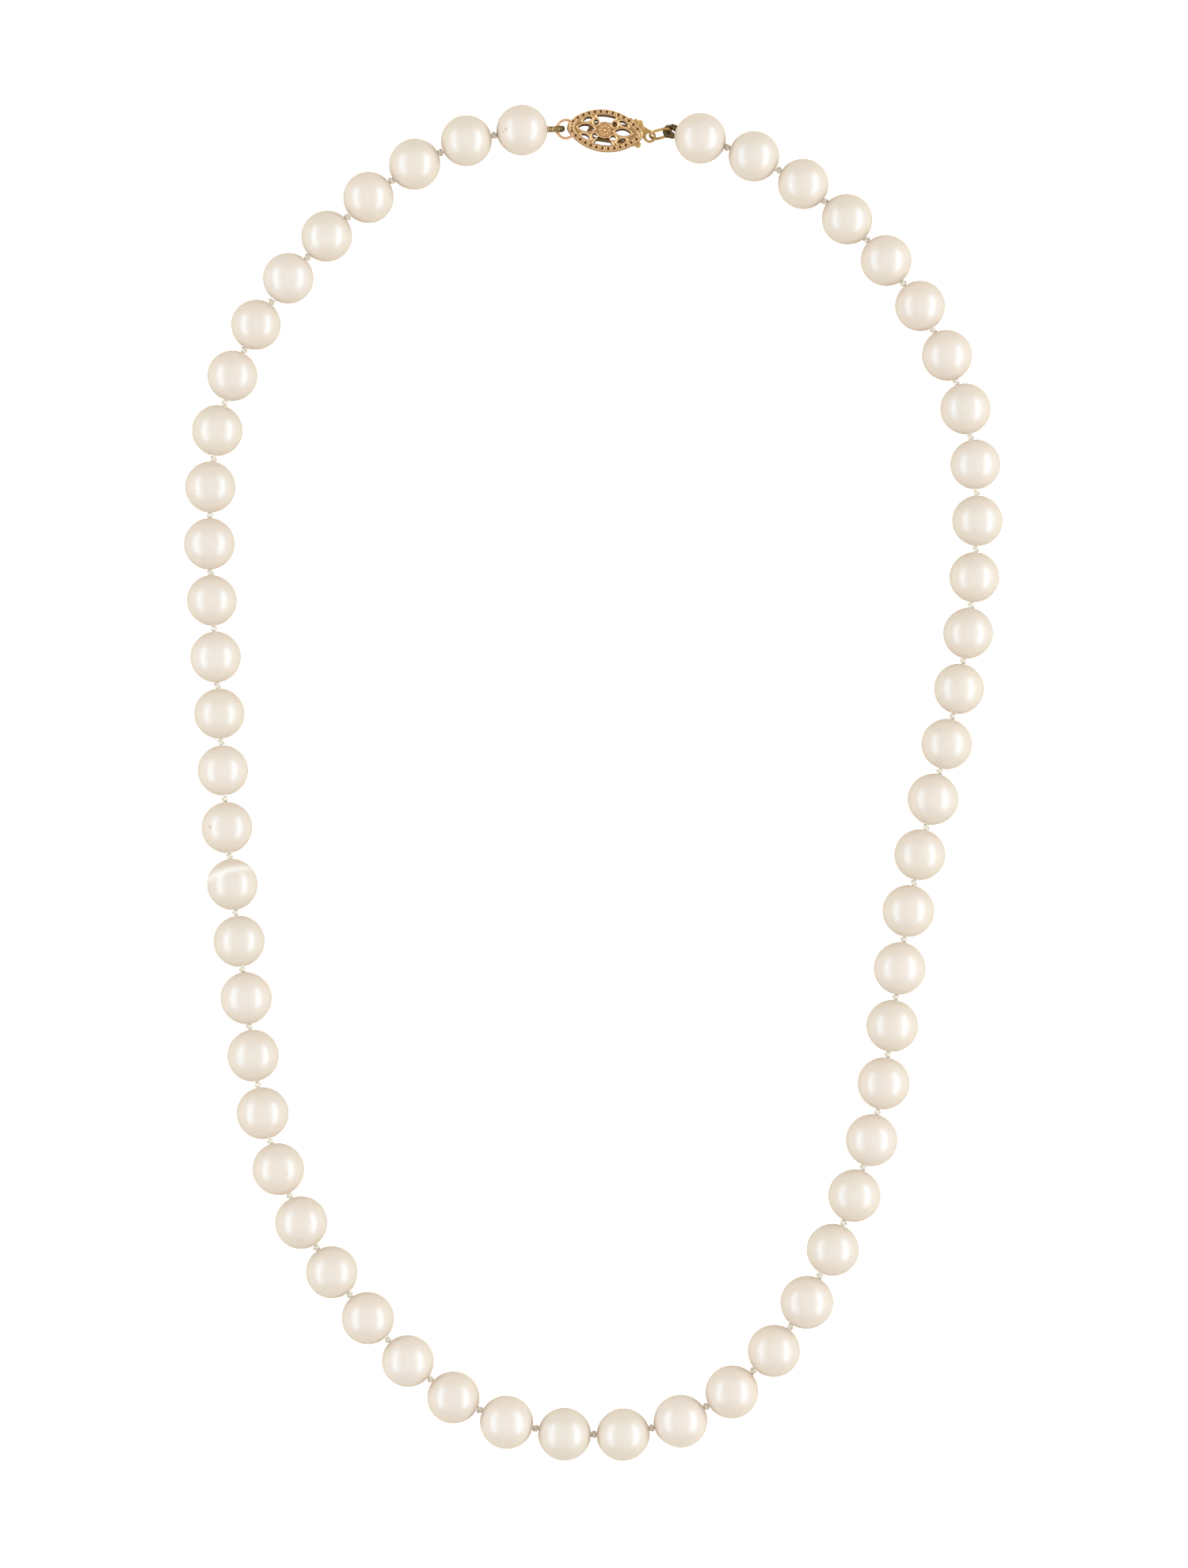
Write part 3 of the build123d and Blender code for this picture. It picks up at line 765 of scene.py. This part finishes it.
def openings(x, y):
    """Distance outside the nearest leaf and the nearest other opening, and inside the outline."""
    ax, ay = np.abs(x), np.abs(y)
    leaf = lens(ax - LEAF_X, y, *LEAF)
    eyelet = np.hypot(ax - EYELET[0], ay - EYELET[1]) - EYELET_RADIUS
    cx, cy = ax - CRESCENT_AT[0], ay - CRESCENT_AT[1]
    c, s = math.cos(CRESCENT_SLOPE), math.sin(CRESCENT_SLOPE)
    crescent = lens(cx * c - cy * s, cx * s + cy * c, *CRESCENT)
    edge = outline_edge(x, y)
    across_fan = ax * math.cos(FAN_HALF_ANGLE) - ay * math.sin(FAN_HALF_ANGLE)
    fan = np.maximum.reduce([FAN_INNER - np.hypot(x, y), across_fan, BORDER_WIDTH + FAN_RIM - edge])
    return leaf, np.minimum.reduce([eyelet, crescent, fan]), edge


def ridge(distance, at, half_width):
    """A ridge that is 1 high where the distance is as given."""
    return smooth_bump(distance - at, half_width)


# Each relief below gives three values per point: its rise in mm, how much painted shade and patina it takes and
# how much of an edge, the last two from 0 to 1.


def front_relief(p):
    """Raised rims round the openings, over a lower stippled ground."""
    leaf, other, edge = openings(p[:, 0], p[:, 1])
    top = np.clip((p[:, 2] - FILIGREE_BOTTOM - 0.12) / 0.12, 0, 1)
    rims = 0.13 * ridge(leaf, 0.13, 0.10) + 0.085 * ridge(other, 0.09, 0.075)
    rims = np.maximum(rims, 0.07 * ridge(edge, BORDER_WIDTH + 0.05, 0.07))
    # The lower ground between the rims is darkened: patina and painted shade.
    ground = -0.07 * np.clip((np.minimum(leaf, other) - 0.22) / 0.12, 0, 1)
    rise = top * (rims + ground)
    return rise, -ground / 0.07 * 0.55 * top, np.clip(rims / 0.1, 0, 1) * top


def border_relief(p):
    """Rails along both edges of the border, and a raised frame round each recess."""
    edge = outline_edge(p[:, 0], p[:, 1])
    top = np.clip((p[:, 2] - FILIGREE_BOTTOM - 0.06) / 0.2, 0, 1)
    along = border_run(p[:, 0], p[:, 1])
    cell = np.abs(np.mod(along / RECESS_PITCH + 0.5, 1) - 0.5) * RECESS_PITCH
    middle = np.clip(1 - np.abs(edge - BORDER_WIDTH / 2) / 0.24, 0, 1) ** 0.5
    rails = 0.075 * ridge(edge, 0.07, 0.055) + 0.06 * ridge(edge, BORDER_WIDTH - 0.06, 0.055)
    between = ridge(cell, RECESS_PITCH / 2, 0.05)
    frames = middle * (0.05 * ridge(cell, RECESS_HALF + 0.085, 0.06) - 0.10 * between)
    across = np.abs(edge - BORDER_WIDTH / 2)
    recess = (cell < RECESS_HALF) & (across < RECESS_HALF) & (along < RECESS_RUN)
    low_top = top * np.where(recess, 0.0, 1.0)
    reach = np.maximum(cell, across) / RECESS_HALF
    in_pit = recess & (p[:, 2] > FILIGREE_BOTTOM + 0.1)
    lip = np.where(in_pit, 0.15 * np.clip((reach - 0.45) / 0.45, 0, 1), 0.0)
    # The recesses and the grooves between the frames are darkened: patina and painted shade.
    pit = np.where(in_pit, 0.95 * np.clip((0.95 - reach) / 0.4, 0, 1), 0.0)
    shade_and_patina = np.maximum(pit, 0.35 * middle * between * top)
    return low_top * (rails + frames) + lip, shade_and_patina, np.clip((rails + frames) / 0.07, 0, 1) * low_top


def back_relief(p):
    """No relief; the face that looks into the housing is darkened with painted shade."""
    return np.zeros(len(p)), 0.85 * np.clip(p[:, 2] / 0.12, 0, 1), np.zeros(len(p))


def wall_relief(p):
    """No relief; the inner side is darkened with painted shade."""
    inside = np.clip((outline_edge(p[:, 0], p[:, 1]) - 0.20) / 0.08, 0, 1)
    return np.zeros(len(p)), 0.85 * inside, np.zeros(len(p))


def shut_in(p):
    """How far a point of the tongue lies inside the housing, from 0 to 1."""
    return np.clip((outline_edge(p[:, 0], p[:, 1]) - 0.25) / 0.15, 0, 1)


def spring_relief(p):
    """No relief; the part inside the housing is darkened with painted shade."""
    return np.zeros(len(p)), 0.65 * shut_in(p), np.zeros(len(p))


def tongue_relief(p):
    """A step at the neck between the thumb tab and the eye, and grooves on the tab's lobes; the part inside the
    housing is darkened with painted shade.
    """
    x, y, z = p.T
    top = np.clip((z - 1.5) / 0.3, 0, 1)
    tab = (y > 0.9) & (x > 2.6)
    grooves = np.where(tab, 0.02 * np.cos((x - 3.6) * TURN / 0.68), 0.0)
    step = -0.10 * np.clip((0.75 * (x - 5.0) - 0.66 * (y - 0.9)) / 0.25 + 0.5, 0, 1)
    return top * (grooves + step), 0.65 * shut_in(p), np.zeros(len(p))


def make_cast(name, node, relief, finish, voxel, softness, stipple, stipple_size):
    """A cast copy of a CAD node: remeshed, softened at its edges, with relief and a stippled skin."""
    mesh = NODES[node].data.copy()
    to_local = Matrix.Scale(1 / MM, 4) @ CLASP_FRAME.inverted()
    mesh.transform(to_local)
    bm = bmesh.new()
    bm.from_mesh(mesh)
    bmesh.ops.remove_doubles(bm, verts=bm.verts, dist=1e-4)
    bm.to_mesh(mesh)
    bm.free()
    worked = bpy.data.objects.new("worked", mesh)
    bpy.context.scene.collection.objects.link(worked)
    remesh = worked.modifiers.new("remesh", "REMESH")
    remesh.mode, remesh.voxel_size = "VOXEL", voxel
    fine = bpy.data.meshes.new_from_object(worked.evaluated_get(bpy.context.evaluated_depsgraph_get()))
    bpy.data.objects.remove(worked)
    fine.materials.clear()
    count = len(fine.vertices)
    p = np.empty(count * 3)
    fine.vertices.foreach_get("co", p)
    p = p.reshape(-1, 3)
    edges = np.empty(len(fine.edges) * 2, int)
    fine.edges.foreach_get("vertices", edges)
    edges = edges.reshape(-1, 2)
    degree = np.bincount(edges.ravel(), minlength=count)[:, None]

    def average(values):
        """Each point's mean over its neighbours."""
        total = np.zeros_like(values)
        np.add.at(total, edges[:, 0], values[edges[:, 1]])
        np.add.at(total, edges[:, 1], values[edges[:, 0]])
        return total / degree

    for _ in range(softness):
        p = 0.5 * p + 0.5 * average(p)
    rise, shade_and_patina, edge = relief(p)
    p[:, 2] += rise
    p = 0.6 * p + 0.4 * average(p)
    fine.vertices.foreach_set("co", p.ravel())
    fine.update()
    normals = np.empty(count * 3)
    fine.vertex_normals.foreach_get("vector", normals)
    normals = normals.reshape(-1, 3)
    grain = np.array([noise.noise(Vector(v) / stipple_size) for v in p])
    p += normals * (stipple * grain)[:, None]
    # Painted shade with the patina: hollows found from how the surface bends are darkened; ridges take the
    # worn-edge colour.
    bent = ((average(p) - p) * normals).sum(1) / voxel
    for _ in range(2):
        bent = average(bent[:, None])[:, 0]
    shade_and_patina = np.clip(shade_and_patina + np.clip(bent * 5, 0, 1), 0, 1)
    edge = np.clip(0.6 * edge + np.clip(-bent * 4, 0, 1), 0, 1)
    fine.vertices.foreach_set("co", p.ravel())
    paint(fine, np.column_stack([shade_and_patina, edge, np.zeros(count)]))
    fine.transform(to_local.inverted())
    material, slot = finish
    dress(name, fine, material, BODY_OF[node], [node])


def make_rosette():
    """The flower: a scalloped disc, a boss, petals and a bead between each pair."""
    rows, around = 84, 240
    phi = np.arange(around)[None] / around * TURN * np.ones((rows - 1, 1))
    reach = ROSETTE_RADIUS + ROSETTE_SCALLOP * np.cos(PETALS * phi)
    r = np.linspace(0, 1, rows)[1:, None] * reach
    x, y = r * np.cos(phi), r * np.sin(phi)
    disc = 0.10 * np.clip((reach - r) / 0.06, 0, 1) ** 0.5
    boss = BOSS_HEIGHT * np.sqrt(np.clip(1 - (r / BOSS_RADIUS) ** 2, 0, 1))
    spoke = (np.mod(phi / TURN * PETALS + 0.5, 1) - 0.5) * TURN / PETALS
    side, out = np.sin(spoke) * r, np.cos(spoke) * r - PETAL_AT
    within = 1 - (out / PETAL_HALF_LENGTH) ** 2 - (side / PETAL_HALF_WIDTH) ** 2
    petal = PETAL_HEIGHT * np.sqrt(np.clip(within, 0, 1))
    gap = (np.mod(phi / TURN * PETALS, 1) - 0.5) * TURN / PETALS
    bead_side, bead_out = np.sin(gap) * r, np.cos(gap) * r - BEAD_AT
    bead = BEAD_HEIGHT * np.sqrt(np.clip(1 - (bead_side**2 + bead_out**2) / BEAD_RADIUS**2, 0, 1))
    z = np.maximum.reduce([disc, boss, petal, bead])
    z -= 0.05 * smooth_bump(np.hypot(out - 0.30, side), 0.05)
    x, y = np.append(0, x), np.append(0, y)
    z = FILIGREE_TOP - 0.03 + np.append(BOSS_HEIGHT, z)
    under = np.column_stack([
        reach[0] * np.cos(phi[0]), reach[0] * np.sin(phi[0]), np.full(around, FILIGREE_TOP - 0.10)
    ])
    points = np.concatenate([np.column_stack([x, y, z]), under])
    faces = [[0, 1 + i, 1 + (i + 1) % around] for i in range(around)]
    faces += [[1 + i for i in face] for face in grid_faces(rows, around, False)]
    first = 1 + (rows - 1) * around
    faces.append(list(range(first, first + around)))
    # Low parts between the petals are darkened, patina and painted shade; high points take the worn-edge colour.
    level = np.clip((points[:, 2] - FILIGREE_TOP) / 0.25, 0, 1)
    colour = np.column_stack([0.75 * (1 - level) ** 2, 0.6 * level, np.zeros(len(points))])
    placed = np.array([tuple(CLASP_FRAME @ Vector(p * MM)) for p in points]) / MM
    node = "clasp_rosette"
    piece("rosette_flower", placed, faces, ROSE, BODY_OF[node], [node], colour)


# ---- Floor, lights and camera; lengths in metres, the camera's sensor in mm ----
VIEW_SPAN = 0.211
VIEW_HEIGHT = 0.0035
CAMERA_DISTANCE = 1.0
SENSOR = 36.0
FLAT_RADII = (0.4, 1.5, 3.2)
COVE_RADIUS = 0.6
FLOOR_TONES = ((0.3, (0.70, 0.62, 0.51)), (0.7, (0.72, 0.64, 0.53)))
PANEL_SIZE, PANEL_COLOUR = (1.9, 0.40), (0.68, 0.85, 1.0)
PANEL_OUT, PANEL_UP = 0.95, 0.55
PANELS = (("softbox_right", 1, 14.0), ("softbox_left", -1, 11.6))
SKY_TONES = ((0.0, (0.84, 0.74, 0.60)), (0.5, (0.73, 0.68, 0.61)), (1.0, (0.75, 0.78, 0.84)))


def make_floor():
    """A plain pale floor that curves up into a low cove a long way off."""
    around, profile = 96, [(r, 0.0) for r in FLAT_RADII]
    for a in np.linspace(0.1, math.pi / 2, 12):
        profile.append((FLAT_RADII[-1] + COVE_RADIUS * math.sin(a), COVE_RADIUS * (1 - math.cos(a))))
    mesh = bpy.data.meshes.new("floor")
    angle = np.arange(around) / around * TURN
    points = [(0, 0, 0)] + [(r * math.cos(a), r * math.sin(a), z) for r, z in profile for a in angle]
    faces = [[0, 1 + i, 1 + (i + 1) % around] for i in range(around)]
    faces += [[1 + i for i in reversed(face)] for face in grid_faces(len(profile), around, False)]
    mesh.from_pydata(points, [], faces)
    mesh.shade_smooth()
    s = Shader("floor")
    colour = s.ramp(s.noise(3.0), FLOOR_TONES)
    s.skin_set(Base_Color=colour, Roughness=0.9, Specular_IOR_Level=0.1)
    seen = s.node("ShaderNodeLightPath").outputs["Is Camera Ray"]
    s.skin_set(Emission_Color=(1, 1, 1, 1), Emission_Strength=s.span(seen, 0.0, 1.0, 0.0, 1.0))
    mesh.materials.append(s.material)
    floor = bpy.data.objects.new("floor", mesh)
    bpy.context.scene.collection.objects.link(floor)


def make_light(name, side, power):
    """A long soft panel that stands at one side and faces the middle of the necklace."""
    lamp = bpy.data.lights.new(name, "AREA")
    lamp.shape, lamp.size, lamp.size_y = "RECTANGLE", *PANEL_SIZE
    lamp.energy, lamp.color = power, PANEL_COLOUR
    panel = bpy.data.objects.new(name, lamp)
    panel.location = (side * PANEL_OUT, 0.0, PANEL_UP)
    panel.rotation_euler = (-panel.location).to_track_quat("-Z", "Y").to_euler()
    panel.visible_camera = False
    bpy.context.scene.collection.objects.link(panel)


def make_sky():
    """Nearly even light from all round, warm at the horizon and cool overhead."""
    world = bpy.data.worlds.new("studio")
    bpy.context.scene.world = world
    world.use_nodes = True
    tree = world.node_tree
    place = tree.nodes.new("ShaderNodeTexCoord")
    split = tree.nodes.new("ShaderNodeSeparateXYZ")
    ramp = tree.nodes.new("ShaderNodeValToRGB")
    elements = ramp.color_ramp.elements
    elements.new(0.5)
    for element, (position, tone) in zip(elements, SKY_TONES):
        element.position = position
        element.color = (*tone, 1)
    tree.links.new(place.outputs["Generated"], split.inputs[0])
    tree.links.new(split.outputs["Z"], ramp.inputs[0])
    tree.links.new(ramp.outputs["Color"], tree.nodes["Background"].inputs["Color"])


def make_camera():
    """Straight down, as far off as a long lens needs to take in the whole frame."""
    lens_data = bpy.data.cameras.new("camera")
    lens_data.sensor_width = SENSOR
    lens_data.lens = SENSOR * CAMERA_DISTANCE / VIEW_SPAN
    lens_data.clip_start, lens_data.clip_end = 0.05, 20.0
    camera = bpy.data.objects.new("camera", lens_data)
    camera.location = (0, 0, VIEW_HEIGHT + CAMERA_DISTANCE)
    bpy.context.scene.collection.objects.link(camera)
    bpy.context.scene.camera = camera


make_camera()
make_floor()
make_sky()
for light_name, light_side, light_power in PANELS:
    make_light(light_name, light_side, light_power)
bpy.context.scene.view_settings.view_transform = "Standard"

for index in range(len(PEARLS)):
    pearl(index)
for silk_node, run in silk_runs().items():
    make_silk(silk_node, run)
make_gimp("left", pitch=0.275, loose=0.01, swell=0.05)
make_gimp("right", pitch=0.205, loose=0.13, swell=0.08)
make_ring("left", 0.75, RING)
make_ring("right", 0.6, MATTE)

HOUSING, TONGUE = (ROSE, "clasp_gold"), (MATTE, "tongue_gold")
# Name, CAD node, relief, gold and slot, voxel, softening rounds, stipple's depth and size, in mm.
CASTS = (
    ("filigree_front", "clasp_front_filigree", front_relief, HOUSING, 0.032, 2, 0.010, 0.10),
    ("border_front", "clasp_front_border", border_relief, HOUSING, 0.032, 1, 0.008, 0.12),
    ("filigree_back", "clasp_back_plate", back_relief, HOUSING, 0.045, 2, 0.008, 0.15),
    ("housing_wall", "clasp_side_wall", wall_relief, HOUSING, 0.045, 2, 0.006, 0.20),
    ("tongue_shank_cast", "tongue_shank", tongue_relief, TONGUE, 0.040, 3, 0.020, 0.12),
    ("tongue_spring_cast", "tongue_spring", spring_relief, TONGUE, 0.040, 3, 0.016, 0.12),
)
for cast in CASTS:
    make_cast(*cast)
make_rosette()
